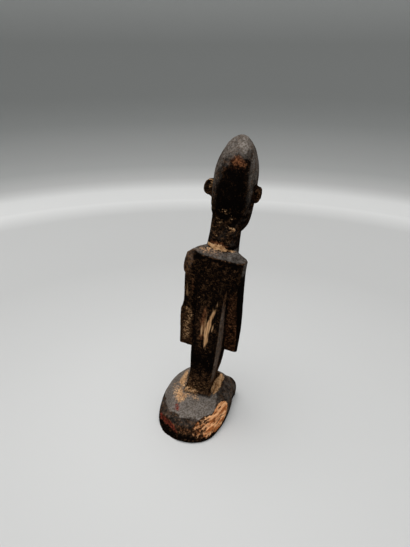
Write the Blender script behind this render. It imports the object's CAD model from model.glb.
"""The looks of a small carved wooden statuette: its hand-cut skin, its worn patina and a pale studio."""

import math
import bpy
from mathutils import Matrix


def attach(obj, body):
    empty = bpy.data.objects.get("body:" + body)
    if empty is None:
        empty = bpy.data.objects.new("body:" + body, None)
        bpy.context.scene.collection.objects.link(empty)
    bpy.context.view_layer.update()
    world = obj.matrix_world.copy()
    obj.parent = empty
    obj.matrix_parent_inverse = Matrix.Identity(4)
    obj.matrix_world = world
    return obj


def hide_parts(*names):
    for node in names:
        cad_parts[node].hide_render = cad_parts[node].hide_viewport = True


bl_info = {
    "name": "Carved Wooden Statuette",
    "version": (1, 0, 0),
    "blender": (4, 5, 0),
    "location": "View3D > Sidebar > Statuette",
    "description": "Carves, wears and finishes a small standing figure of dark wood, and lights it",
    "category": "Object",
}

import bpy
import numpy as np
from bpy.props import FloatProperty, FloatVectorProperty, PointerProperty, StringProperty
from mathutils import Vector, noise

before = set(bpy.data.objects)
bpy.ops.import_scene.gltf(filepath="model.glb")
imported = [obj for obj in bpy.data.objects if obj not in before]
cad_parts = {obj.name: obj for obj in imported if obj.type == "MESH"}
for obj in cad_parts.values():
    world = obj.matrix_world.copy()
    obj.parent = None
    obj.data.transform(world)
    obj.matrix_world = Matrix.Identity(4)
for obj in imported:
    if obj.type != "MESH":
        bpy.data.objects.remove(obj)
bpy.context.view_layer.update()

FIGURE_NODE = "carved_figure"
MM = 0.001

# The figure leans to its own right about a line through the base
LEAN = math.radians(7.8)
AXIS_AT_FLOOR = 0.3


def linear(hex_colour, alpha=1.0):
    """An sRGB colour such as #a1b2c3 as linear red, green, blue and alpha."""
    parts = [int(hex_colour[i : i + 2], 16) / 255 for i in (1, 3, 5)]
    return (*[p / 12.92 if p <= 0.04045 else ((p + 0.055) / 1.055) ** 2.4 for p in parts], alpha)


# ---- Sizes and colours that a user would change


class CarvingSettings(bpy.types.PropertyGroup):
    """How the skin of the wood is cut."""

    skin_grid: FloatProperty(
        name="Skin grid",
        description="Spacing of the mesh that carries the carving",
        default=0.44 * MM,
        min=0.3 * MM,
        unit="LENGTH",
    )
    facet_depth: FloatProperty(
        name="Facet depth",
        description="How deep each flat stroke of the knife bites into the head and base",
        default=0.22 * MM,
        unit="LENGTH",
    )
    ripple_depth: FloatProperty(
        name="Tool ripple",
        description="Height of the long shallow waves that the blade leaves along the grain",
        default=0.16 * MM,
        unit="LENGTH",
    )
    pit_depth: FloatProperty(
        name="Pitting",
        description="Depth of the pits and crumbs on the foot of the base",
        default=0.42 * MM,
        unit="LENGTH",
    )
    break_depth: FloatProperty(
        name="Break roughness",
        description="Height of the torn fibres on the broken faces",
        default=0.7 * MM,
        unit="LENGTH",
    )


class FinishSettings(bpy.types.PropertyGroup):
    """The colours of the wood."""

    patina: StringProperty(
        name="Patina", description="Smoked and handled surface, as an sRGB hex value", default="#0a0706"
    )
    brown: StringProperty(name="Thin patina", description="Where the patina is thin", default="#62462f")
    brown_dark: StringProperty(
        name="Thin patina, dark", description="Its darker clouds", default="#2c1e16"
    )
    worn: StringProperty(
        name="Worn wood", description="Wood rubbed bare along the grain", default="#e6b888"
    )
    worn_dark: StringProperty(
        name="Worn wood, dark", description="Rubbed wood between fibres", default="#ab7d54"
    )
    raw: StringProperty(
        name="Broken wood", description="Fresh wood on the broken faces", default="#fbbd88"
    )
    raw_mid: StringProperty(name="Broken wood, mid", description="Its duller fibres", default="#b87040")
    raw_dark: StringProperty(
        name="Broken wood, dark", description="Gaps between torn fibres", default="#7a4322"
    )
    patina_red: StringProperty(
        name="Old dirt", description="Dirt in the gaps of the break", default="#2c1710"
    )
    rust: StringProperty(
        name="Rubbed crown", description="Red-brown wood rubbed on the crown", default="#94603f"
    )
    rust_dark: StringProperty(
        name="Rubbed crown, dark", description="Its darker clouds", default="#4e2c1c"
    )
    stain: StringProperty(name="Red earth", description="Red earth left in the chips", default="#8c3a2c")
    stain_dark: StringProperty(
        name="Red earth, dark", description="Old dark red earth", default="#471d18"
    )
    film: StringProperty(
        name="Dust film", description="Pale film on the upward faces", default="#89817a"
    )
    film_dark: StringProperty(
        name="Dust film, thin", description="Where the film is thinner", default="#645b53"
    )


class StageSettings(bpy.types.PropertyGroup):
    """The floor, the light and the camera."""

    floor_radius: FloatProperty(
        name="Floor radius", description="Where the floor begins to curve up", default=0.42, unit="LENGTH"
    )
    cove_radius: FloatProperty(
        name="Cove radius",
        description="Radius of the curve between the floor and the backdrop",
        default=0.12,
        unit="LENGTH",
    )
    wall_height: FloatProperty(
        name="Backdrop height",
        description="How high the curved backdrop rises",
        default=0.60,
        unit="LENGTH",
    )
    key_place: FloatVectorProperty(
        name="Overhead place",
        description="Where the soft light hangs",
        default=(0.05, 0.12, 1.0),
        subtype="TRANSLATION",
        unit="LENGTH",
    )
    key_aim: FloatVectorProperty(
        name="Overhead aim",
        description="The point that the soft light faces",
        default=(-0.005, 0.0, 0.05),
        subtype="TRANSLATION",
        unit="LENGTH",
    )
    key_power: FloatProperty(
        name="Overhead light", description="Power of the soft light above", default=12.3
    )
    key_size: FloatProperty(
        name="Overhead size", description="Width of the soft light above", default=1.20, unit="LENGTH"
    )
    fill: FloatProperty(
        name="Room light", description="Strength of the even light from the room", default=0.18
    )
    focal_length: FloatProperty(
        name="Focal length", description="For a 36 mm long side", default=31.59, unit="CAMERA"
    )
    camera_place: FloatVectorProperty(
        name="Camera place",
        description="Where the camera stands",
        default=(-0.06819, 0.1980, 0.1813),
        subtype="TRANSLATION",
        unit="LENGTH",
    )
    camera_turn: FloatVectorProperty(
        name="Camera turn",
        description="Tilt, roll and heading of the camera",
        default=(math.radians(65), 0.0, math.radians(198)),
        subtype="EULER",
        unit="ROTATION",
    )


# ---- The skin of the carving


def select_only(piece):
    """Makes one object the only selected one, and active."""
    bpy.ops.object.select_all(action="DESELECT")
    piece.select_set(True)
    bpy.context.view_layer.objects.active = piece


def smooth_step(low, high, value):
    """0 below low, 1 above high, and an even S between."""
    t = np.clip((value - low) / (high - low), 0.0, 1.0)
    return t * t * (3 - 2 * t)


def direction(azimuth, elevation):
    """A unit vector; azimuth 0 is +X and 90 is +Y, both angles in degrees."""
    a, e = math.radians(azimuth), math.radians(elevation)
    return np.array([math.cos(a) * math.cos(e), math.sin(a) * math.cos(e), math.sin(e)])


def from_figure(vector):
    """A direction along the figure's own axes, in the frame's axes."""
    x, y, z = vector
    return np.array([x * math.cos(LEAN) - z * math.sin(LEAN), y, x * math.sin(LEAN) + z * math.cos(LEAN)])


def grain_noise(points, size, octaves=3, shift=0.0):
    """Smooth noise between about -1 and 1 at each point, with its grain in millimetres along x, y and z."""
    scaled = points / np.array(size) + shift
    return np.array([noise.fractal(Vector(p), 0.8, 2.0, octaves) for p in scaled])


class Skin:
    """The vertices of the carving in millimetres, in the frame's axes and in the figure's own."""

    def __init__(self, mesh):
        self.mesh = mesh
        count = len(mesh.vertices)
        flat = np.empty(count * 3, np.float32)
        mesh.vertices.foreach_get("co", flat)
        self.place = flat.reshape(-1, 3).astype(float) / MM
        pairs = np.empty(len(mesh.edges) * 2, np.int32)
        mesh.edges.foreach_get("vertices", pairs)
        self.pairs = pairs.reshape(-1, 2)
        self.refresh()

    def refresh(self):
        """Writes the places back to the mesh and reads its normals again."""
        self.mesh.vertices.foreach_set("co", (self.place * MM).astype(np.float32).ravel())
        self.mesh.update()
        flat = np.empty(len(self.place) * 3, np.float32)
        self.mesh.vertex_normals.foreach_get("vector", flat)
        self.normal = flat.reshape(-1, 3).astype(float)
        x, y, z = (self.place - (AXIS_AT_FLOOR, 0, 0)).T
        across = x * math.cos(LEAN) + z * math.sin(LEAN)
        up = z * math.cos(LEAN) - x * math.sin(LEAN)
        self.figure = np.stack([across, y, up], axis=1)
        self.loose = smooth_step(0.2, 1.6, z)

    def push(self, height):
        """Moves the skin out along its normals by a height in millimetres. The flat underside stays."""
        self.place += self.normal * (height * self.loose)[:, None]
        self.refresh()

    def pare(self, point, facing, where, own_axes=True):
        """One flat stroke of the knife: what stands beyond the plane is laid back onto it."""
        above = ((self.figure if own_axes else self.place) - np.array(point)) @ facing
        if own_axes:
            facing = from_figure(facing)
        self.place -= facing * (np.clip(above, 0, None) * where * self.loose)[:, None]

    def spread(self, values, rounds):
        """Averages a value over neighbouring vertices, some rounds over."""
        a, b = self.pairs[:, 0], self.pairs[:, 1]
        count = np.bincount(self.pairs.ravel(), minlength=len(self.place)).astype(float)
        values = values.copy()
        for _ in range(rounds):
            total = np.stack(
                [
                    np.bincount(a, values[b, k], len(count)) + np.bincount(b, values[a, k], len(count))
                    for k in range(values.shape[1])
                ],
                axis=1,
            )
            values = 0.5 * values + 0.5 * total / count[:, None]
        return values

    def stroke(self, start, end, width, soft=1.0, own_axes=True):
        """1 within a width of the line from start to end, fading to 0 over a soft rim."""
        return self.path(((*start, width), (*end, width)), soft, 0.0, own_axes)

    def path(self, points, soft, wander, own_axes=True):
        """A stroke through points that each have their half width; a wander bends its border."""
        places = (self.figure if own_axes else self.place) + wander
        mark = np.zeros(len(places))
        for (*start, first), (*end, last) in zip(points, points[1:]):
            start, along = np.array(start), np.subtract(end, start)
            share = np.clip((places - start) @ along / (along @ along), 0, 1)
            gap = np.linalg.norm(places - start - share[:, None] * along, axis=1)
            width = first + (last - first) * share
            mark = np.maximum(mark, 1 - smooth_step(width, width + soft, gap))
        return mark


# The planes of the broken faces: a point in the frame's axes, and the azimuth and elevation that it faces
ORANGE_BREAK = (((-15.9, 1.2, 12.3), 159, 23.4), ((-5, 19.5, 9), 126, 34))
RED_CHIP = ((10.8, 18.9, 7.2), 58, 6.6)


def find_regions(skin):
    """The parts of the plain form before it is carved, as shares from 0 to 1 for each vertex."""
    x, y, z = skin.figure.T
    low_z = skin.place[:, 2]
    ear = smooth_step(8.6, 9.3, np.abs(x - 0.1)) * smooth_step(120, 121, z) * (1 - smooth_step(131, 132, z))
    nape = smooth_step(-6, -4, y) * (1 - smooth_step(117, 119, z))
    head = smooth_step(104.5, 106, z) * (1 - ear) * (1 - nape)
    face = head * (1 - smooth_step(-10.5, -8, y)) * (1 - smooth_step(132, 136, z))
    column = (np.abs(x - 1.2) < 7.4) & (y > -16) & (y < 4.6) & (low_z > 15.2)
    base = np.where(column, 0.0, 1 - smooth_step(17.0, 18.3, low_z))

    def above(point, azimuth, elevation):
        return (skin.place - np.array(point)) @ direction(azimuth, elevation)

    orange = np.max([smooth_step(-0.4, -0.15, above(*plane)) for plane in ORANGE_BREAK], axis=0)
    return {
        "head": head,
        "face": face,
        "base": base,
        "ear": ear,
        "orange": orange * (low_z < 13.5) * base,
        "red": smooth_step(-0.35, -0.1, above(*RED_CHIP)) * (low_z < 9),
    }


def knife_facets(skin, region, centre, facings, depth):
    """Lays flat strokes of the knife on a rounded form, each a depth below where it would just touch."""
    for facing in facings:
        reach = (skin.figure - centre) @ facing
        furthest = np.max(reach[region > 0.5])
        skin.pare(centre + facing * (furthest - depth), facing, region)
    skin.refresh()


def even_facings(count, seed, keep):
    """Directions spread evenly over a ball, a little unsteady as by hand, and kept by a test."""
    rng = np.random.default_rng(seed)
    golden = math.pi * (3 - math.sqrt(5))
    found = []
    for i in range(count):
        z = 1 - 2 * (i + 0.5) / count
        r = math.sqrt(1 - z * z)
        vector = np.array([r * math.cos(golden * i), r * math.sin(golden * i), z]) + rng.normal(0, 0.07, 3)
        vector /= np.linalg.norm(vector)
        if keep(vector):
            found.append(vector)
    return found


# The middles that the knife's strokes on the head and on the base face away from, in the figure's own axes
HEAD_MIDDLE = np.array([0.0, -2.0, 129.0])
BASE_MIDDLE = np.array([1.0, 0.0, 2.0])

# The long flat strokes on the back of the base: a place in the frame's axes, azimuth and elevation
BASE_STROKES = (
    ((1.2, 17.4, 10.0), 97, 72),
    ((1.2, 17.8, 10.1), 92, 47),
    ((9.0, 15.5, 10.2), 70, 52),
    ((15.6, 6.0, 10.9), 30, 46),
    ((13.4, -6.0, 14.3), 350, 58),
)

# Short cuts: start, end, half width and depth, in the figure's own axes
NICKS = (
    ((-0.9, 7.4, 111.7), (-3.9, 6.8, 111.3), 0.7, 0.7),
    ((-3.5, 7.0, 113.8), (-5.4, 5.8, 111.8), 0.6, 0.5),
    ((4.3, 7.1, 113.9), (1.6, 7.5, 113.7), 0.55, 0.4),
    ((4.2, 7.1, 110.3), (1.0, 7.5, 110.8), 0.6, 0.4),
    ((4.8, 6.8, 117.0), (1.6, 7.6, 116.2), 0.5, 0.35),
    ((0.8, 7.7, 118.2), (-2.8, 7.4, 117.3), 0.5, 0.35),
    ((-2.4, 7.2, 108.2), (-5.0, 6.2, 109.4), 0.5, 0.35),
    ((5.2, 6.6, 107.4), (2.6, 7.4, 106.4), 0.5, 0.3),
    ((5.6, 11.2, 78.0), (4.2, 11.3, 77.6), 0.5, 0.35),
    ((5.4, 11.1, 64.9), (4.6, 11.1, 63.8), 0.45, 0.3),
    ((7.1, 10.6, 88.0), (6.5, 10.8, 84.6), 0.4, 0.25),
)

# The face: how far each stroke stands out or sinks in, its soft rim and its points with half widths.
# The first are for the figure's left half and are repeated on its right.
HALF_FACE = (
    (-0.9, 1.6, ((2.5, -12.9, 125.2, 0.7), (4.4, -12.6, 124.9, 1.2), (6.3, -11.8, 125.2, 0.5))),
    (1.0, 0.9, ((2.6, -12.4, 126.1, 0.1), (4.3, -12.4, 126.5, 0.7), (6.2, -11.8, 126.1, 0.0))),
    (-0.6, 0.4, ((2.4, -12.9, 125.9, 0.0), (4.3, -13.2, 126.2, 0.2), (6.5, -12.0, 125.8, 0.0))),
    (0.7, 1.0, ((1.3, -13.0, 129.8, 0.1), (4.0, -12.6, 131.2, 0.4), (7.2, -10.6, 129.6, 0.0))),
    (-0.6, 0.6, ((2.5, -13.6, 116.2, 0.0), (2.2, -13.6, 118.6, 0.1))),
    (0.4, 2.0, ((4.6, -12.6, 119.0, 0.4), (6.0, -11.9, 120.4, 0.4))),
)
MIDDLE_FACE = (
    (0.5, 0.6, ((-2.4, -13.6, 113.7, 0.0), (0.0, -14.2, 114.0, 0.3), (2.4, -13.6, 113.7, 0.0))),
    (0.5, 0.6, ((-2.0, -13.7, 111.6, 0.0), (0.0, -14.2, 111.4, 0.4), (2.0, -13.7, 111.6, 0.0))),
    (-0.8, 0.4, ((-3.0, -13.4, 112.6, 0.0), (0.0, -14.4, 112.7, 0.2), (3.0, -13.4, 112.6, 0.0))),
    (0.5, 1.8, ((-1.4, -12.0, 108.2, 0.4), (1.4, -12.0, 108.2, 0.4))),
)

# The same on the front of the body
FRONT_CUTS = (
    # The cuts that part the arms from the trunk
    (-1.0, 0.9, ((-5.2, -6, 84, -0.3), (-5.2, -7.5, 66, 0.3), (-5.2, -9, 54, 0.3), (-5.2, -10.5, 41, 0.3))),
    (-1.0, 0.9, ((5.8, -6, 84, -0.3), (5.8, -7.5, 66, 0.3), (5.8, -9, 54, 0.3), (5.8, -10.5, 41, 0.3))),
    # The parting of the legs, the lower border of the chest, the belly and the navel
    (-0.8, 0.9, ((0.8, -13, 37, 0.0), (0.8, -13.5, 28, 0.4), (0.8, -13.5, 18, 0.4))),
    (-0.5, 0.8, ((-4.4, -6, 75, -0.2), (0.2, -6, 72.5, 0.2), (5, -6, 75, -0.2))),
    (0.8, 4.0, ((0.3, -8.5, 57, 0.2), (0.3, -9.5, 50, 0.6))),
    (0.6, 0.8, ((0.3, -9.8, 51.5, 0.4), (0.3, -9.8, 50.8, 0.4))),
    # The wrists
    (-0.5, 0.7, ((-11.5, -9.5, 50, 0.0), (-6.4, -9.5, 49.5, 0.1))),
    (-0.5, 0.7, ((7, -9.5, 49.5, 0.1), (13.2, -9.5, 50, 0.0))),
)

# The crease between the base and the lobe at its right, in the frame's axes
CREASE = (
    (-9.6, -18, 15.0),
    (-10.2, -14.6, 15.6),
    (-10.8, -9.4, 15.6),
    (-12.0, -5.5, 14.7),
    (-13.5, -1.6, 13.6),
    (-15.5, 0.4, 11.8),
)

# The torn fibres run along the rim of the break, which faces back and to the figure's right
ALONG_BREAK = direction(57, -13)
OUT_OF_BREAK = direction(140, 29)


def cut_facets(skin, regions, depth):
    """Lays the knife's flat strokes on the head and the base, and notes the tone of each facet."""
    rounded = regions["head"] * (1 - regions["face"])
    whole_head = even_facings(120, 4, lambda v: v[2] > -0.55)
    knife_facets(skin, rounded, HEAD_MIDDLE, whole_head, depth)

    whole_base = regions["base"] * (1 - np.maximum(regions["orange"], regions["red"]))
    for point, azimuth, elevation in BASE_STROKES:
        skin.pare(point, direction(azimuth, elevation), whole_base, own_axes=False)
    skin.refresh()
    top_of_base = even_facings(110, 9, lambda v: v[2] > 0.1)
    knife_facets(skin, whole_base, BASE_MIDDLE, top_of_base, 0.5 * depth)

    tone = np.zeros(len(skin.place))
    for region, facings in ((rounded, whole_head), (whole_base, top_of_base)):
        shades = np.random.default_rng(21).uniform(-1, 1, len(facings))
        nearest = np.argmax(skin.normal @ np.array(facings).T, axis=1)
        tone += region * shades[nearest]
    regions["tone"] = skin.spread(tone[:, None], 2)[:, 0]


def model_front(skin, regions):
    """Raises and sinks the forms of the face and the body's front, and notes what is sunk."""
    other_half = [
        (height, soft, [(-x, *rest) for x, *rest in points]) for height, soft, points in HALF_FACE
    ]
    regions["sunk"] = np.zeros(len(skin.place))
    for height, soft, points in (*HALF_FACE, *other_half, *MIDDLE_FACE, *FRONT_CUTS):
        mark = skin.path(points, soft, 0.0)
        skin.push(height * mark)
        if height < 0:
            regions["sunk"] = np.maximum(regions["sunk"], mark)


def ripple_wood(skin, head, depth):
    """Leaves the blade's long shallow waves along the grain, most on the body."""
    body = smooth_step(18, 20, skin.figure[:, 2]) * (1 - head)
    ripple = grain_noise(skin.figure, (3.2, 3.2, 17.0), 3)
    fine = grain_noise(skin.figure, (1.1, 1.1, 5.0), 2, 31.0)
    skin.push((0.75 * ripple + 0.35 * fine) * depth * (0.35 + 0.65 * body))


def cut_neck(skin, regions):
    """Makes short knife cuts across the back of the neck, and notes where they lie."""

    def back_of_neck(x):
        return 7.9 - 0.035 * x**2

    rng = np.random.default_rng(12)
    regions["cuts"] = np.zeros(len(skin.place))
    for height in np.linspace(104.5, 121.5, 30):
        middle, half, rise = rng.uniform(-4.5, 5), rng.uniform(0.6, 1.9), rng.normal(0, 0.35)
        left, right = middle + half, middle - half
        start = (left, back_of_neck(left), height + half * rise)
        end = (right, back_of_neck(right), height - half * rise)
        cut = skin.stroke(start, end, 0.2, rng.uniform(0.5, 0.9))
        skin.place -= skin.normal * (rng.uniform(0.3, 0.6) * cut)[:, None]
        regions["cuts"] = np.maximum(regions["cuts"], rng.uniform(0.4, 1.0) * cut)
    skin.refresh()


def cut_nicks(skin, base):
    """Makes the single nicks, and the crease between the base and its lobe."""
    for start, end, width, depth in NICKS:
        skin.place -= skin.normal * (depth * skin.stroke(start, end, width * 0.2, width))[:, None]
    crease = np.max(
        [skin.stroke(start, end, 0.1, 1.0, own_axes=False) for start, end in zip(CREASE, CREASE[1:])], axis=0
    )
    skin.place -= skin.normal * (0.6 * crease * base)[:, None]
    skin.refresh()


def spread_foot(skin):
    """Spreads the foot of the base a little just above the floor, most at its left back."""
    toe = np.clip(1 - skin.place[:, 2] / 4.5, 0, 1)
    outward = skin.place[:, :2] / np.maximum(np.linalg.norm(skin.place[:, :2], axis=1), 1)[:, None]
    spread = 1.3 * smooth_step(0.6, 0.9, outward[:, 1])
    spread += 0.8 * smooth_step(0.75, 0.9, outward[:, 1]) * smooth_step(0.2, 0.5, outward[:, 0])
    skin.place[:, :2] += outward * (toe * spread)[:, None]
    skin.refresh()


def pit_foot(skin, base, depth):
    """Crumbles the lower part of the back of the base."""
    low = base * (1 - smooth_step(7, 11, skin.place[:, 2])) * smooth_step(6, 14, skin.place[:, 1])
    crumbs = grain_noise(skin.place, (1.7, 1.7, 1.4), 3, 7.0)
    skin.push(-np.clip(crumbs + 0.1, 0, None) * low * depth)


def tear_breaks(skin, regions, depth):
    """Tears the fibres of the broken faces, and notes the gaps between them."""
    across = np.cross(ALONG_BREAK, OUT_OF_BREAK)
    across /= np.linalg.norm(across)
    axes = np.stack([np.cross(across, ALONG_BREAK), across, ALONG_BREAK], axis=1)
    fibres = grain_noise(skin.place @ axes, (1.8, 1.0, 7.0), 4, 3.0)
    chunks = grain_noise(skin.place, (3.6, 3.6, 3.6), 2, 13.0)
    torn = 0.9 * fibres + 0.35 * chunks - 0.3
    skin.push(torn * np.maximum(regions["orange"], 0.5 * regions["red"]) * depth)
    regions["torn"] = 1 - smooth_step(-0.55, 0.1, torn + 0.3)


def carve_skin(skin, regions, carving):
    """Cuts the hand-carved surface into the even mesh, from the broad strokes to the torn fibres."""
    cut_facets(skin, regions, carving.facet_depth / MM)
    model_front(skin, regions)
    ripple_wood(skin, regions["head"], carving.ripple_depth / MM)
    cut_neck(skin, regions)
    cut_nicks(skin, regions["base"])
    spread_foot(skin)
    pit_foot(skin, regions["base"], carving.pit_depth / MM)
    tear_breaks(skin, regions, carving.break_depth / MM)


# ---- Where the wood is worn, broken, stained or dusty

MARKS = ("brown", "edge", "film", "tan", "worn", "rust", "red", "raw", "torn", "hollow")

# Each stroke of wear: its kind, its strength, its soft rim and its points with their half widths, all in
# millimetres. A half width below nothing lets a stroke run out to a point.
FIGURE_WEAR = (
    # The golden streak down the back, with softer fibres at its left
    ("worn", 1.0, 1.3, ((-4, 11, 79.5, -1.0), (-3, 11, 73, -0.1), (-1.5, 11, 67.5, 0.2))),
    ("worn", 1.25, 1.6, ((-2, 11, 69.5, -0.8), (-1, 11, 64, 0.4), (-0.5, 11, 59.5, 0.5),
                         (-0.5, 11, 56, 0.2), (-0.5, 10.5, 52, -0.1), (-0.5, 10.5, 46.5, -1.2))),
    ("worn", 0.8, 1.1, ((-3.5, 11, 68, -0.9), (-3, 11, 63, 0.0), (-2, 11, 55, -1.0))),
    ("worn", 0.8, 2.4, ((0.5, 11, 74, -2.0), (1, 11, 66, -0.2), (1.5, 11, 60, 0.0), (2, 11, 50, -2.0))),
    ("rust", 0.72, 2.4, ((1.5, 11, 78, -1.6), (2, 11, 68, 0.2), (2, 11, 58, 0.2), (1.5, 11, 48, -1.5))),
    ("brown", 0.7, 3.0, ((2, 11, 79, -2.0), (3, 11, 70, 1.0), (3, 11, 56, 0.4), (3, 10.5, 44, -2.0))),
    ("tan", 0.6, 0.8, ((6.5, 10.5, 76.5, 0.0), (5, 11, 77.5, 0.0))),
    # The ring round the foot of the neck, and the tan rub on the cap below it
    ("tan", 1.6, 1.6, ((6.5, 6, 102.5, -0.4), (4.5, 7, 102.5, 0.1), (2, 7.5, 102.5, 0.6),
                       (0, 7.5, 102.5, 0.4), (-2.5, 7.5, 102, -0.1))),
    ("tan", 1.1, 1.2, ((-1.5, 7.5, 102, 0.1), (-5, 6.5, 101.5, 0.0), (-8, 6.5, 101.5, -0.4))),
    ("rust", 0.8, 1.8, ((5, 7, 104.5, -0.2), (0, 7.5, 104, 0.3), (-3, 7.5, 103.5, -0.6))),
    ("tan", 0.6, 2.6, ((10, 8, 100.5, -0.6), (6.5, 8.5, 100.5, 0.8), (3.5, 8.5, 100.5, 0.8),
                       (-1, 8, 101, -0.6))),
    ("brown", 0.9, 3.0, ((9, 9, 100, 0.2), (2, 9, 100, 0.6), (-4, 8.5, 100.5, -0.8))),
    # The forearm at the left, and the upper arm above it
    ("tan", 0.68, 2.8, ((13, 6, 67.5, -0.8), (11, 5, 64, 0.8), (11, 4, 59.5, 0.2),
                        (12.5, 2, 53.5, 0.8), (12.5, 0, 48, 0.8), (14, -1, 42, -0.6))),
    ("worn", 0.55, 2.0, ((13, 10, 84, -0.4), (12.5, 8, 76, 0.0), (12, 7, 70, -0.6))),
    ("rust", 0.6, 2.0, ((10.5, 10, 86, -0.8), (9.5, 9.5, 79, 0.2), (9.5, 9, 73, -0.8))),
    # Rubbed places on the crown
    ("rust", 0.8, 3.6, ((2, 7, 141, -1.4), (-1, 7.5, 142, 0.8), (-3.5, 7, 141, 0.0))),
    ("rust", 0.42, 3.6, ((4.5, 7, 134, -1.0), (3, 7.5, 138, 0.2), (0, 7.5, 140, 0.4),
                         (-4, 7, 139.5, -0.4))),
    # Rubbed places on the face: the nose, the brows, the lids, the cheeks, the lips and the chin
    ("brown", 1.5, 1.2, ((0, -13, 131, -0.2), (0, -15, 124, 0.2), (0, -16, 117.5, 0.9))),
    ("tan", 0.6, 1.0, ((0, -15, 122, -0.2), (0, -16, 117.5, 0.7))),
    ("brown", 1.4, 1.4, ((-7, -11, 130, -0.4), (-4, -13, 131.5, 0.2), (-1.5, -13.5, 130, -0.4))),
    ("brown", 1.4, 1.4, ((7, -11, 130, -0.4), (4, -13, 131.5, 0.2), (1.5, -13.5, 130, -0.4))),
    ("brown", 1.1, 1.0, ((-3, -12.5, 126.5, -0.2), (-6, -12, 126.5, -0.2))),
    ("brown", 1.1, 1.0, ((3, -12.5, 126.5, -0.2), (6, -12, 126.5, -0.2))),
    ("brown", 0.9, 2.6, ((-6.5, -12, 120.5, -0.4), (-4.5, -13, 119, 0.4))),
    ("brown", 0.9, 2.6, ((6.5, -12, 120.5, -0.4), (4.5, -13, 119, 0.4))),
    ("brown", 1.4, 0.8, ((-2, -13.5, 114, 0.0), (2, -13.5, 114, 0.0))),
    ("brown", 1.4, 1.0, ((-2, -14, 111, 0.0), (2, -14, 111, 0.0))),
    ("brown", 1.2, 2.0, ((-1.5, -12.5, 108, 0.2), (1.5, -12.5, 108, 0.2))),
    # The pale tip of the crown
    ("film", 1.3, 3.0, ((-1, 3.5, 148, 0.2), (-2.5, 3.5, 147.5, 0.6), (-3, 4.5, 146, 0.2))),
    # The top and the inner face of the left ear
    ("tan", 0.85, 1.2, ((9.5, -0.5, 130, 0.2), (12.5, -0.5, 130, 0.4))),
    ("tan", 0.7, 1.4, ((10, 0, 129.5, 0.5), (10.5, 0, 127, 0.1), (11, 0, 124.5, -0.6))),
    # Pale cuts on the neck
    ("tan", 1.7, 1.0, ((-1, 7.5, 112, -0.1), (-3.5, 7, 111.5, 0.4))),
    ("tan", 1.2, 0.9, ((-4, 7, 113.5, -0.1), (-5, 6, 111.5, 0.2))),
    ("tan", 0.9, 0.9, ((4.5, 7, 114, -0.2), (1.5, 7.5, 113.5, 0.0))),
    ("tan", 0.9, 0.9, ((4, 7, 110.5, 0.0), (1, 7.5, 111, -0.2))),
    # The neck's rubbed left edge
    ("brown", 0.9, 1.0, ((5, 7, 119, -0.2), (6, 6.5, 112, 0.3), (6.5, 6, 106, 0.0))),
)

# The same in the frame's axes, on the base
BASE_WEAR = (
    # The rubbed band beside the column, at its left and back
    ("tan", 1.0, 3.0, ((11.5, -12.5, 16, 0.4), (10.5, -6, 17, 1.1), (10, -3, 17, 1.1),
                       (8.5, 0.5, 16.5, 0.4))),
    ("tan", 0.6, 1.6, ((14, -3.5, 15.5, -0.2), (12.5, -5, 16, 0.4))),
    ("tan", 1.0, 2.6, ((9.5, 2, 16, -0.2), (9, 4.5, 15.5, 0.9), (8, 7.5, 14.5, 1.2), (7.5, 10.5, 13.5, 0.3))),
    ("tan", 1.0, 2.6, ((5, 5, 15.5, 0.2), (5, 7, 15, 0.8), (6, 9, 14, 0.6))),
    ("tan", 0.75, 2.2, ((12.5, 3.5, 15, -0.2), (10, 7, 14.5, 0.8), (9.5, 9.5, 13.5, 0.2))),
    ("tan", 0.95, 0.9, ((14, 9, 12, 0.3), (13, 7.5, 13, 0.2))),
    ("tan", 0.85, 4.0, ((5, 4, 16, 0.6), (2, 5, 16, 1.0), (0, 6.5, 15.5, 0.8), (-2, 7.5, 15, 0.1))),
    ("tan", 0.75, 1.2, ((-1.5, 4, 16, 0.0), (-3.5, 6.5, 15.5, 0.2))),
    ("tan", 0.62, 5.0, ((13, 0, 15, 0.0), (10, 5, 14.5, 1.0), (8, 11, 13, -1.0))),
    # The rubbed edge of the cut beside the lobe
    ("tan", 1.6, 1.5, ((-9.5, -14, 16, 0.6), (-9.5, -8, 16.5, 1.3), (-9.5, -3.5, 16.5, 1.3),
                       (-9, 0, 16, 1.0), (-9, 4, 15.5, -0.2))),
    # Red earth in the chip at the left back and in the grain above it, and old orange wood below the dome
    ("red", 1.3, 1.6, ((17, 14.5, 6.5, 0.0), (15.5, 16.5, 7, 0.4), (14, 18, 6, 0.0))),
    ("red", 0.75, 2.4, ((9, 11, 13, -0.2), (7.5, 12.5, 12.5, 0.4), (6.5, 15, 11.5, 0.3))),
    ("rust", 0.45, 2.4, ((6, 20.5, 6.5, -0.6), (1, 22.5, 5, 0.6), (-5, 21.5, 5, 0.4))),
)

# Heights along the figure's own axis, in millimetres
COLUMN_FOOT = 15
HAND_TIPS = 36


def burnished_arch(x, y, z):
    """The dark burnished hollow at the back of the head, under an arch that narrows towards the crown."""
    rise = np.clip((z - 121) / 19.4, 0, 1)
    half = 5.6 * np.sqrt(1 - rise**2.4)
    middle = -0.3 - 1.3 * rise
    arch = 1 - smooth_step(half - 1.2, half + 2.6, np.abs(x - middle))
    return arch * smooth_step(0.4, 1.4, half) * smooth_step(1, 3, y) * smooth_step(112, 119, z)


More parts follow.
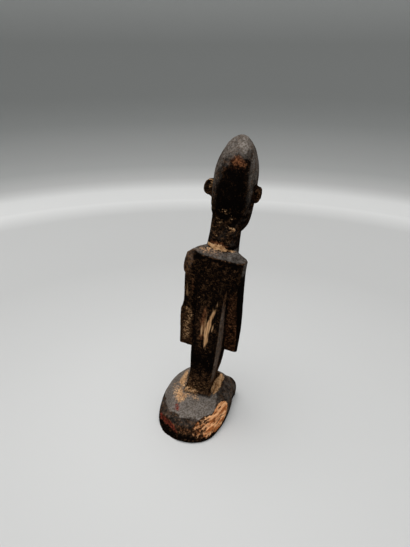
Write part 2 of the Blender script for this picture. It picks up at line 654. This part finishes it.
def bare_wood(skin, orange, low_x, low_z):
    """The raw wood of the break, bare at its right and speckled towards the middle of the base."""
    ragged = skin.spread(orange[:, None], 9)[:, 0] * orange
    near = smooth_step(0.03, 0.3, skin.spread(orange[:, None], 30)[:, 0])
    rim = near * smooth_step(4, 9, -low_x) * (low_z < 8)
    to_middle = smooth_step(-14, -8, low_x)
    to_floor = 1 - smooth_step(3, 6, low_z)
    return 1.3 * np.maximum(ragged, 0.75 * rim) * (1 - 0.6 * to_middle) * (1 - 0.3 * to_floor)


def mark_wear(skin, regions):
    """Gives each vertex its share of every kind of wear. Above 1 nothing shows through.

    The two numbers of a smooth step are mostly places in millimetres, between which a mark fades in or out.
    Those taken of a facing are the sine of its slant.
    """
    wander = np.stack(
        [grain_noise(skin.figure, (2.2, 2.2, 5.0), 3, shift) for shift in (0, 40, 80)], axis=1
    )
    x, y, z = (skin.figure + 0.5 * wander).T
    low_x, low_y, low_z = (skin.place + 0.5 * wander).T
    head, base, ear, orange, red = (regions[name] for name in ("head", "base", "ear", "orange", "red"))
    marks = {name: np.zeros(len(z)) for name in MARKS}

    def rub(kind, share):
        np.maximum(marks[kind], share, out=marks[kind])

    for table, own_axes in ((FIGURE_WEAR, True), (BASE_WEAR, False)):
        for kind, strength, soft, points in table:
            rub(kind, strength * skin.path(points, soft, 0.45 * wander, own_axes))

    facing = skin.spread(skin.normal, 2)
    upward = smooth_step(0.3, 0.75, facing[:, 2])
    right_side = smooth_step(0.55, 0.8, -facing[:, 0])
    backward = smooth_step(0.2, 0.6, facing[:, 1])
    column = (np.abs(skin.figure[:, 0]) < 8.2) & (skin.figure[:, 1] < 12) & (z > 16) & (z < 88)
    neck = smooth_step(102.5, 104.5, z) * (1 - smooth_step(116, 120, z)) * (1 - ear)
    burnish = burnished_arch(x, y, z)

    # Thin brown patina in clouds, with tan and rusty wood where it is rubbed
    cap = smooth_step(85, 87, z) * (1 - smooth_step(101.5, 103, z))
    rub("brown", 0.34 * smooth_step(40, 50, z) * (1 - smooth_step(96, 98, z)) * backward)
    rub("brown", 0.4 * (z > 18) * (1 - smooth_step(96, 98, z)) * smooth_step(0.3, 0.7, -facing[:, 1]))
    rub("brown", 0.75 * (z > COLUMN_FOOT) * (1 - smooth_step(24, 44, z)) * column)
    rub("tan", 0.4 * (z > COLUMN_FOOT) * (1 - smooth_step(20, 32, z)) * column * backward)
    left_arm = smooth_step(8.4, 9.6, x) * (z > HAND_TIPS) * (1 - cap)
    rub("brown", (0.5 + 0.2 * (1 - smooth_step(64, 68, z))) * left_arm)
    right_arm = smooth_step(7.2, 8.2, -x) * (z > HAND_TIPS) * (1 - cap)
    rub("brown", 0.36 * right_arm * (1 - right_side))
    rub("tan", 0.18 * right_arm * backward)
    rub("rust", 0.45 * right_arm * backward * (1 - smooth_step(80, 86, z)))
    rub("brown", 0.36 * neck)
    rub("brown", regions["cuts"])
    rub("tan", 0.72 * regions["cuts"])
    rub("brown", 0.54 * base)
    chamfer = cap * smooth_step(9.5, 12, x)
    rub("brown", 0.9 * chamfer)
    rub("brown", 0.4 * ear)
    rub("rust", 0.3 * ear * (x < 0))
    rub("brown", 0.45 * head)

    # Pale film of dust and wax on what faces up, and on the rubbed side of the column
    dome = base * smooth_step(9.3, 10.0, low_z - 0.3 * np.clip(-low_x - 8, 0, None))
    lobe = smooth_step(10.0, 11.4, -low_x - 0.25 * np.clip(low_y, 0, None)) * smooth_step(-20, -16, low_y)
    rub("film", 0.78 * dome * upward * (1 - 0.72 * lobe))
    rub("film", 0.34 * base * smooth_step(4, 7, low_z) * (1 - lobe) * (1 - 0.5 * red))
    rub("film", 0.42 * base * lobe)
    slope = smooth_step(95, 97, z) * (1 - smooth_step(102.2, 102.8, z)) * upward
    rub("film", 0.52 * slope)
    rub("film", (0.2 + 0.12 * smooth_step(90, 97, z)) * chamfer)
    rub("film", 0.5 * cap * right_side * smooth_step(90, 94, z))
    strip = right_side * column * smooth_step(-2, 4, y)
    rub("film", 0.45 * strip * smooth_step(22, 30, z) * (1 - smooth_step(70, 84, z)))
    rub("brown", strip)
    crown = head * smooth_step(137, 145, z - 0.4 * np.clip(3 - y, 0, None))
    rub("film", 0.68 * crown * (1 - 0.5 * smooth_step(3.5, 6, -x)))
    sides = smooth_step(0.5, 0.9, np.abs(facing[:, 0])) * smooth_step(118, 128, z)
    rub("film", 0.5 * head * sides)
    rub("film", 0.46 * head * smooth_step(0.2, 0.45, facing[:, 0]) * smooth_step(124, 134, z))
    rub("film", 0.34 * head * (1 - 0.5 * smooth_step(0.35, 0.7, facing[:, 1]) * smooth_step(0, 3, -x)))
    rub("film", 0.2 * neck * (1 - 0.5 * regions["cuts"]))

    # Each facet took the film a little differently, and the sunk lines are dark
    marks["film"] *= (1 + 0.16 * regions["tone"]) * (1 - 0.2 * regions["face"])
    marks["film"] *= 1 - 0.5 * regions["sunk"]
    marks["film"] *= (1 - burnish) * (1 - 0.7 * marks["rust"]) * (1 - orange)
    marks["brown"] *= 1 - 0.85 * burnish
    for name in ("brown", "tan"):
        marks[name] *= 1 - 0.75 * regions["sunk"]

    # The breaks, and the dark foot just above the floor
    marks["raw"] = bare_wood(skin, orange, low_x, low_z)
    marks["torn"] = 0.8 * regions["torn"] * orange
    rub("red", 0.7 * red * (1 - smooth_step(6.5, 8.5, low_z)))
    rub("brown", 0.9 * red)
    foot = smooth_step(2.4, 4.4, low_z)
    for name in ("brown", "film", "rust", "red"):
        marks[name] *= foot
    marks["raw"] *= smooth_step(0.8, 2.4, low_z)

    # Dirt stays in the hollows, and the edges are rubbed
    hollow = np.einsum("ij,ij->i", skin.spread(skin.place, 7) - skin.place, skin.normal)
    marks["hollow"] = smooth_step(0.03, 0.16, hollow) * (1 - 0.35 * orange)
    marks["edge"] = smooth_step(0.02, 0.14, -hollow) * (1 - burnish)
    return marks


def keep_marks(mesh, marks):
    """Stores the marks on the mesh, where the finish reads them."""
    for name, values in marks.items():
        layer = mesh.attributes.new(name, "FLOAT", "POINT")
        layer.data.foreach_set("value", np.clip(values, 0, 2).astype(np.float32))


# ---- The finish


def add_node(tree, kind, inputs=None, **settings):
    """Adds a node with its settings. Inputs, by name or number, are plain values or sockets to link in.

    A Mix node takes its colours at the inputs 6 and 7 and gives the mixed one at the output 2.
    """
    node = tree.nodes.new(kind)
    for name, value in settings.items():
        setattr(node, name, value)
    for name, value in (inputs or {}).items():
        socket = node.inputs[name]
        if isinstance(value, bpy.types.NodeSocket):
            tree.links.new(value, socket)
        else:
            socket.default_value = value
    return node


def patina_wood(finish):
    """Hardwood darkened by smoke, dirt and handling, and rubbed through along its grain.

    The patina is nearly black, with clouds of brown where it is thin and a dull grey film on what faces
    up. Worn places show golden fibres along the figure, and the breaks show raw orange wood.
    """
    material = bpy.data.materials.new("Smoke-darkened hardwood with rubbed patina")
    material.use_nodes = True
    tree = material.node_tree
    tree.nodes.clear()

    place = add_node(tree, "ShaderNodeTexCoord").outputs["Object"]
    # The grain runs up the figure, drawn out 14 times as long as it is wide. The fibres of the break run
    # along its rim, six times as long as they are wide.
    grain, splinters = (
        add_node(
            tree,
            "ShaderNodeMapping",
            {"Vector": place, "Rotation": turn, "Scale": stretch},
            vector_type="TEXTURE",
        ).outputs[0]
        for turn, stretch in (
            ((0, -LEAN, 0), (1, 1, 14)),
            ((0, math.radians(13), math.radians(57)), (6, 1, 1.5)),
        )
    )
    # Each pattern: where it lies, the size of its grain in millimetres, detail, roughness and curl. Real
    # pores are finer, and are drawn as coarse as they need to show.
    patterns = {
        name: add_node(
            tree,
            "ShaderNodeTexNoise",
            {
                "Vector": vector,
                "Scale": 1 / (size * MM),
                "Detail": detail,
                "Roughness": rough,
                "Distortion": curl,
            },
        ).outputs["Fac"]
        for name, vector, size, detail, rough, curl in (
            ("fibre", grain, 1.1, 5.0, 0.62, 0.0),
            ("streak", grain, 2.8, 4.0, 0.6, 0.0),
            ("mottle", place, 2.6, 5.0, 0.7, 0.5),
            ("speckle", place, 1.3, 3.0, 0.7, 0.0),
            ("bloom", place, 3.4, 5.0, 0.75, 0.0),
            ("splinter", splinters, 1.2, 3.0, 0.6, 0.0),
            ("crumb", place, 0.8, 2.0, 0.6, 0.0),
            ("curl", place, 1.9, 3.0, 0.6, 1.4),
        )
    }
    marks = {
        name: add_node(tree, "ShaderNodeAttribute", attribute_name=name).outputs["Fac"] for name in MARKS
    }

    # Fine curling scratches lie where the curl pattern crosses its middle value
    scratch = add_node(
        tree, "ShaderNodeMath", {0: patterns["curl"], 1: 0.5, 2: 0.035}, operation="COMPARE"
    ).outputs[0]
    patterns["cloud"] = add_node(
        tree, "ShaderNodeMath", {0: scratch, 1: 0.26, 2: patterns["mottle"]}, operation="MULTIPLY_ADD"
    ).outputs[0]

    colour = linear(finish.patina)
    # Each layer: its mark, the pattern that breaks it up and how strongly, where it starts and is full on
    # the sum of both, the pattern of its tones, and its light and dark tone
    for mark, breaker, weight, start, full, toner, light, dark in (
        ("brown", "cloud", 1.6, 1.25, 2.05, "speckle", finish.brown, finish.brown_dark),
        ("edge", "streak", 1.6, 1.3, 2.2, "fibre", finish.brown, finish.brown_dark),
        ("film", "bloom", 0.95, 0.62, 1.5, "crumb", finish.film, finish.film_dark),
        ("rust", "speckle", 1.3, 0.9, 1.8, "crumb", finish.rust, finish.rust_dark),
        ("tan", "crumb", 2.2, 1.55, 2.25, "speckle", finish.worn, finish.worn_dark),
        ("worn", "fibre", 1.6, 1.1, 1.9, "fibre", finish.worn, finish.worn_dark),
        ("red", "speckle", 1.6, 1.15, 1.75, "crumb", finish.stain, finish.stain_dark),
        ("raw", "speckle", 2.0, 1.3, 1.9, "splinter", finish.raw, finish.raw_mid),
        ("torn", "splinter", 1.0, 0.8, 1.5, "mottle", finish.raw_dark, finish.patina_red),
    ):
        broken = add_node(
            tree,
            "ShaderNodeMath",
            {0: patterns[breaker], 1: weight, 2: marks[mark]},
            operation="MULTIPLY_ADD",
        ).outputs[0]
        share = add_node(
            tree,
            "ShaderNodeMapRange",
            {"Value": broken, "From Min": start, "From Max": full},
            interpolation_type="SMOOTHSTEP",
        ).outputs[0]
        tone = add_node(
            tree, "ShaderNodeMapRange", {"Value": patterns[toner], "From Min": 0.42, "From Max": 0.58}
        ).outputs[0]
        shade = add_node(
            tree, "ShaderNodeMix", {0: tone, 6: linear(dark), 7: linear(light)}, data_type="RGBA"
        ).outputs[2]
        colour = add_node(
            tree, "ShaderNodeMix", {0: share, 6: colour, 7: shade}, data_type="RGBA"
        ).outputs[2]
    dirt = add_node(tree, "ShaderNodeMath", {0: marks["hollow"], 1: 0.55}, operation="MULTIPLY").outputs[0]
    colour = add_node(
        tree, "ShaderNodeMix", {0: dirt, 6: colour, 7: linear(finish.patina)}, data_type="RGBA"
    ).outputs[2]

    # The whole surface is matt, and the raw wood most of all
    rough = add_node(
        tree, "ShaderNodeMath", {0: marks["raw"], 1: 0.15, 2: 0.75}, operation="MULTIPLY_ADD"
    ).outputs[0]
    relief = add_node(
        tree, "ShaderNodeMath", {0: patterns["crumb"], 1: 0.6, 2: patterns["fibre"]}, operation="MULTIPLY_ADD"
    ).outputs[0]
    bump = add_node(
        tree, "ShaderNodeBump", {"Strength": 0.5, "Distance": 0.16 * MM, "Height": relief}
    ).outputs[0]
    # Dust and open pores leave the old surface no gloss, so it has no specular reflection
    shader = add_node(
        tree,
        "ShaderNodeBsdfPrincipled",
        {
            "Base Color": colour,
            "Roughness": rough,
            "IOR": 1.5,
            "Specular IOR Level": 0.0,
            "Normal": bump,
        },
    )
    add_node(tree, "ShaderNodeOutputMaterial", {"Surface": shader.outputs[0]})
    return material


# ---- Operators


class STATUETTE_OT_carve(bpy.types.Operator):
    """Makes the carved figure's skin from the solid, with its knife work, wear marks and finish"""

    bl_idname = "statuette.carve"
    bl_label = "Carve the figure"

    def execute(self, context):
        carving, finish = context.scene.statuette_carving, context.scene.statuette_finish
        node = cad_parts[FIGURE_NODE]
        piece = node.copy()
        piece.data = node.data.copy()
        piece.name = "carved_skin"
        piece.parent = None
        for key in list(piece.keys()):
            del piece[key]
        context.scene.collection.objects.link(piece)
        select_only(piece)
        bpy.ops.object.mode_set(mode="EDIT")
        bpy.ops.mesh.select_all(action="SELECT")
        bpy.ops.mesh.remove_doubles(threshold=0.002 * MM)
        bpy.ops.object.mode_set(mode="OBJECT")

        remesh = piece.modifiers.new("Even skin", "REMESH")
        remesh.mode = "VOXEL"
        remesh.voxel_size = carving.skin_grid
        bpy.ops.object.modifier_apply(modifier=remesh.name)

        # All but the underside is softened once, and the rounded forms more
        plain = Skin(piece.data)
        regions = find_regions(plain)
        loose = plain.loose
        crisp = np.max([regions[name] for name in ("orange", "red", "face")], axis=0)
        round_forms = np.clip(regions["head"] + regions["base"], 0, 1) * (1 - crisp)
        for name, share, rounds in (("whole", loose, 1), ("rounded", round_forms * loose, 7)):
            group = piece.vertex_groups.new(name=name)
            for level in range(1, 6):
                chosen = np.where(np.round(share * 5) == level)[0]
                group.add([int(i) for i in chosen], level / 5, "REPLACE")
            soften = piece.modifiers.new("Soften " + name, "SMOOTH")
            soften.vertex_group = name
            soften.iterations = rounds
            bpy.ops.object.modifier_apply(modifier=soften.name)
        piece.vertex_groups.clear()

        skin = Skin(piece.data)
        carve_skin(skin, regions, carving)
        keep_marks(piece.data, mark_wear(skin, regions))
        bpy.ops.object.shade_smooth()

        piece.data.materials.clear()
        piece.data.materials.append(patina_wood(finish))
        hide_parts(FIGURE_NODE)
        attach(piece, "root")
        return {"FINISHED"}


# The sides of the round floor, and the bands of the curve that joins it to the backdrop
FLOOR_SIDES = 96
COVE_STEPS = 12

# The tones of the paper from the middle of the floor, at 0, over its edge, at 0.5, to the top of the
# backdrop, at 1. A brighter band lies along the far edge, and the backdrop falls off quickly above it.
PAPER_TONES = (
    (0.0, "#d5d5d4"),
    (0.15, "#c9c9c8"),
    (0.25, "#c3c3c2"),
    (0.35, "#c6c6c5"),
    (0.43, "#c8c8c7"),
    (0.49, "#e4e4e3"),
    (0.503, "#dededd"),
    (0.51, "#b3b3b2"),
    (0.523, "#9a9b9a"),
    (0.5375, "#909190"),
    (0.571, "#7f8180"),
    (0.614, "#7b7d7c"),
    (0.657, "#777978"),
    (0.698, "#868887"),
    (1.0, "#8b8d8c"),
)


def floor_finish(radius, height):
    """Matt studio paper, pale underfoot and greyer as it rises."""
    material = bpy.data.materials.new("Matt seamless paper")
    material.use_nodes = True
    tree = material.node_tree
    tree.nodes.clear()
    place = add_node(tree, "ShaderNodeTexCoord").outputs["Object"]
    flat = add_node(
        tree, "ShaderNodeVectorMath", {0: place, 1: (1, 1, 0)}, operation="MULTIPLY"
    ).outputs[0]
    out = add_node(tree, "ShaderNodeVectorMath", {0: flat}, operation="LENGTH").outputs["Value"]
    parts = add_node(tree, "ShaderNodeSeparateXYZ", {0: place}).outputs
    rise = add_node(
        tree,
        "ShaderNodeMapRange",
        {"Value": parts["Z"], "From Min": 0.0, "From Max": height, "To Min": 0.5, "To Max": 1.0},
    ).outputs[0]
    reach = add_node(
        tree,
        "ShaderNodeMapRange",
        {"Value": out, "From Min": 0.0, "From Max": radius, "To Min": 0.0, "To Max": 0.5},
    ).outputs[0]
    is_wall = add_node(
        tree, "ShaderNodeMath", {0: parts["Z"], 1: 0.5 * MM}, operation="GREATER_THAN"
    ).outputs[0]
    step = add_node(tree, "ShaderNodeMix", {0: is_wall, 2: reach, 3: rise}, data_type="FLOAT").outputs[0]
    ramp = add_node(tree, "ShaderNodeValToRGB", {0: step})
    stops = ramp.color_ramp.elements
    (stops[0].position, first), (stops[1].position, last) = PAPER_TONES[0], PAPER_TONES[-1]
    stops[0].color, stops[1].color = linear(first), linear(last)
    for position, shade in PAPER_TONES[1:-1]:
        stops.new(position).color = linear(shade)
    shader = add_node(tree, "ShaderNodeBsdfPrincipled", {"Base Color": ramp.outputs[0], "Roughness": 0.75})
    add_node(tree, "ShaderNodeOutputMaterial", {"Surface": shader.outputs[0]})
    return material


class STATUETTE_OT_stage(bpy.types.Operator):
    """Sets up the pale floor that curves up to a grey backdrop, the soft light and the camera"""

    bl_idname = "statuette.stage"
    bl_label = "Set the stage"

    def execute(self, context):
        stage = context.scene.statuette_stage
        bpy.ops.object.select_all(action="DESELECT")
        bpy.ops.mesh.primitive_circle_add(
            vertices=FLOOR_SIDES, radius=stage.floor_radius, fill_type="NGON", location=(0, 0, 0)
        )
        floor = context.object
        floor.name = "studio_floor"
        bpy.ops.object.mode_set(mode="EDIT")
        bpy.ops.mesh.select_all(action="SELECT")
        cove = stage.cove_radius
        for i in range(COVE_STEPS):
            turn, next_turn = (math.pi / 2 * k / COVE_STEPS for k in (i, i + 1))
            out = stage.floor_radius + cove * math.sin(turn)
            next_out = stage.floor_radius + cove * math.sin(next_turn)
            lift = cove * (math.cos(turn) - math.cos(next_turn))
            bpy.ops.mesh.extrude_region_move(TRANSFORM_OT_translate={"value": (0, 0, lift)})
            bpy.ops.transform.resize(value=(next_out / out, next_out / out, 1), center_override=(0, 0, 0))
        bpy.ops.mesh.extrude_region_move(TRANSFORM_OT_translate={"value": (0, 0, stage.wall_height - cove)})
        bpy.ops.mesh.delete(type="ONLY_FACE")
        bpy.ops.mesh.select_all(action="SELECT")
        bpy.ops.mesh.normals_make_consistent(inside=True)
        bpy.ops.object.mode_set(mode="OBJECT")
        bpy.ops.object.shade_smooth()
        floor.data.materials.append(floor_finish(stage.floor_radius, stage.wall_height))

        bpy.ops.object.light_add(type="AREA", location=stage.key_place)
        key = context.object
        key.name = "overhead_softbox"
        key.data.shape = "DISK"
        key.data.size = stage.key_size
        key.data.energy = stage.key_power
        aim = Vector(stage.key_aim) - key.location
        key.rotation_euler = aim.to_track_quat("-Z", "Y").to_euler()

        world = bpy.data.worlds.new("Even room light")
        context.scene.world = world
        world.use_nodes = True
        sky = world.node_tree.nodes["Background"]
        sky.inputs["Color"].default_value = linear("#c9cccd")
        sky.inputs["Strength"].default_value = stage.fill

        bpy.ops.object.camera_add(location=stage.camera_place, rotation=stage.camera_turn)
        camera = context.object
        camera.name = "table_view"
        camera.data.sensor_width = 36
        camera.data.lens = stage.focal_length
        camera.data.clip_start = 0.01
        context.scene.camera = camera
        context.scene.view_settings.view_transform = "Standard"
        return {"FINISHED"}


class STATUETTE_PT_sidebar(bpy.types.Panel):
    """The statuette's tools in the 3D view's sidebar"""

    bl_label = "Carved statuette"
    bl_idname = "STATUETTE_PT_sidebar"
    bl_space_type = "VIEW_3D"
    bl_region_type = "UI"
    bl_category = "Statuette"

    def draw(self, context):
        for title, group, operator in (
            ("Carving", context.scene.statuette_carving, STATUETTE_OT_carve),
            ("Finish", context.scene.statuette_finish, None),
            ("Stage", context.scene.statuette_stage, STATUETTE_OT_stage),
        ):
            box = self.layout.box()
            box.label(text=title)
            for name in group.bl_rna.properties.keys():
                if name not in ("rna_type", "name"):
                    box.prop(group, name)
            if operator:
                box.operator(operator.bl_idname)


CLASSES = (
    CarvingSettings,
    FinishSettings,
    StageSettings,
    STATUETTE_OT_carve,
    STATUETTE_OT_stage,
    STATUETTE_PT_sidebar,
)


def register():
    for cls in CLASSES:
        bpy.utils.register_class(cls)
    bpy.types.Scene.statuette_carving = PointerProperty(type=CarvingSettings)
    bpy.types.Scene.statuette_finish = PointerProperty(type=FinishSettings)
    bpy.types.Scene.statuette_stage = PointerProperty(type=StageSettings)


def unregister():
    del bpy.types.Scene.statuette_stage
    del bpy.types.Scene.statuette_finish
    del bpy.types.Scene.statuette_carving
    for cls in reversed(CLASSES):
        bpy.utils.unregister_class(cls)


def main():
    register()
    bpy.ops.statuette.stage()
    bpy.ops.statuette.carve()


if __name__ == "__main__":
    main()
